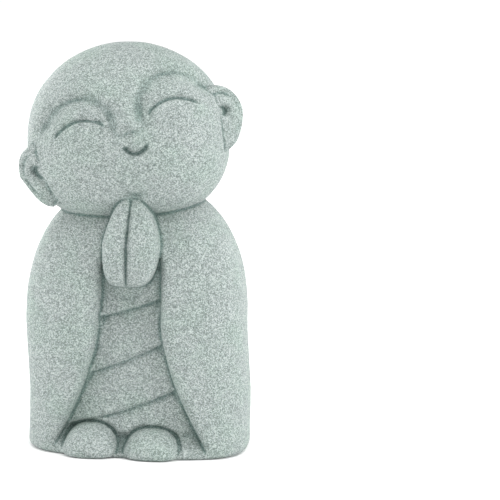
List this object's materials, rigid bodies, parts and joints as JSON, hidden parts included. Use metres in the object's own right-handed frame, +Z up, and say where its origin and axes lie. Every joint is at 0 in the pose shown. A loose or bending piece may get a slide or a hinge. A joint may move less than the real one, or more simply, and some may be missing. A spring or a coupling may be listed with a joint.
{
  "type": "praying jizo statue",
  "caption": "Small standing praying figure with a large smiling tilted head, long ears, pressed palms, a plain cloak with slanting folds, rounded feet and a flat base.",
  "frame": {"origin": "middle of the robe at the underside, on the surface it stands on", "axes": "+Z up, the figure faces -Y, +X is the figure's left (the viewer's right)"},
  "size_m": [0.0342, 0.0277, 0.0605],
  "materials": {
    "sandstone_composite": "cast fine-grained pale green-grey stone, matt, with light and dark grains"
  },
  "bodies": {
    "root": {"jizo_figure": "sandstone_composite"}
  },
  "joints": []
}
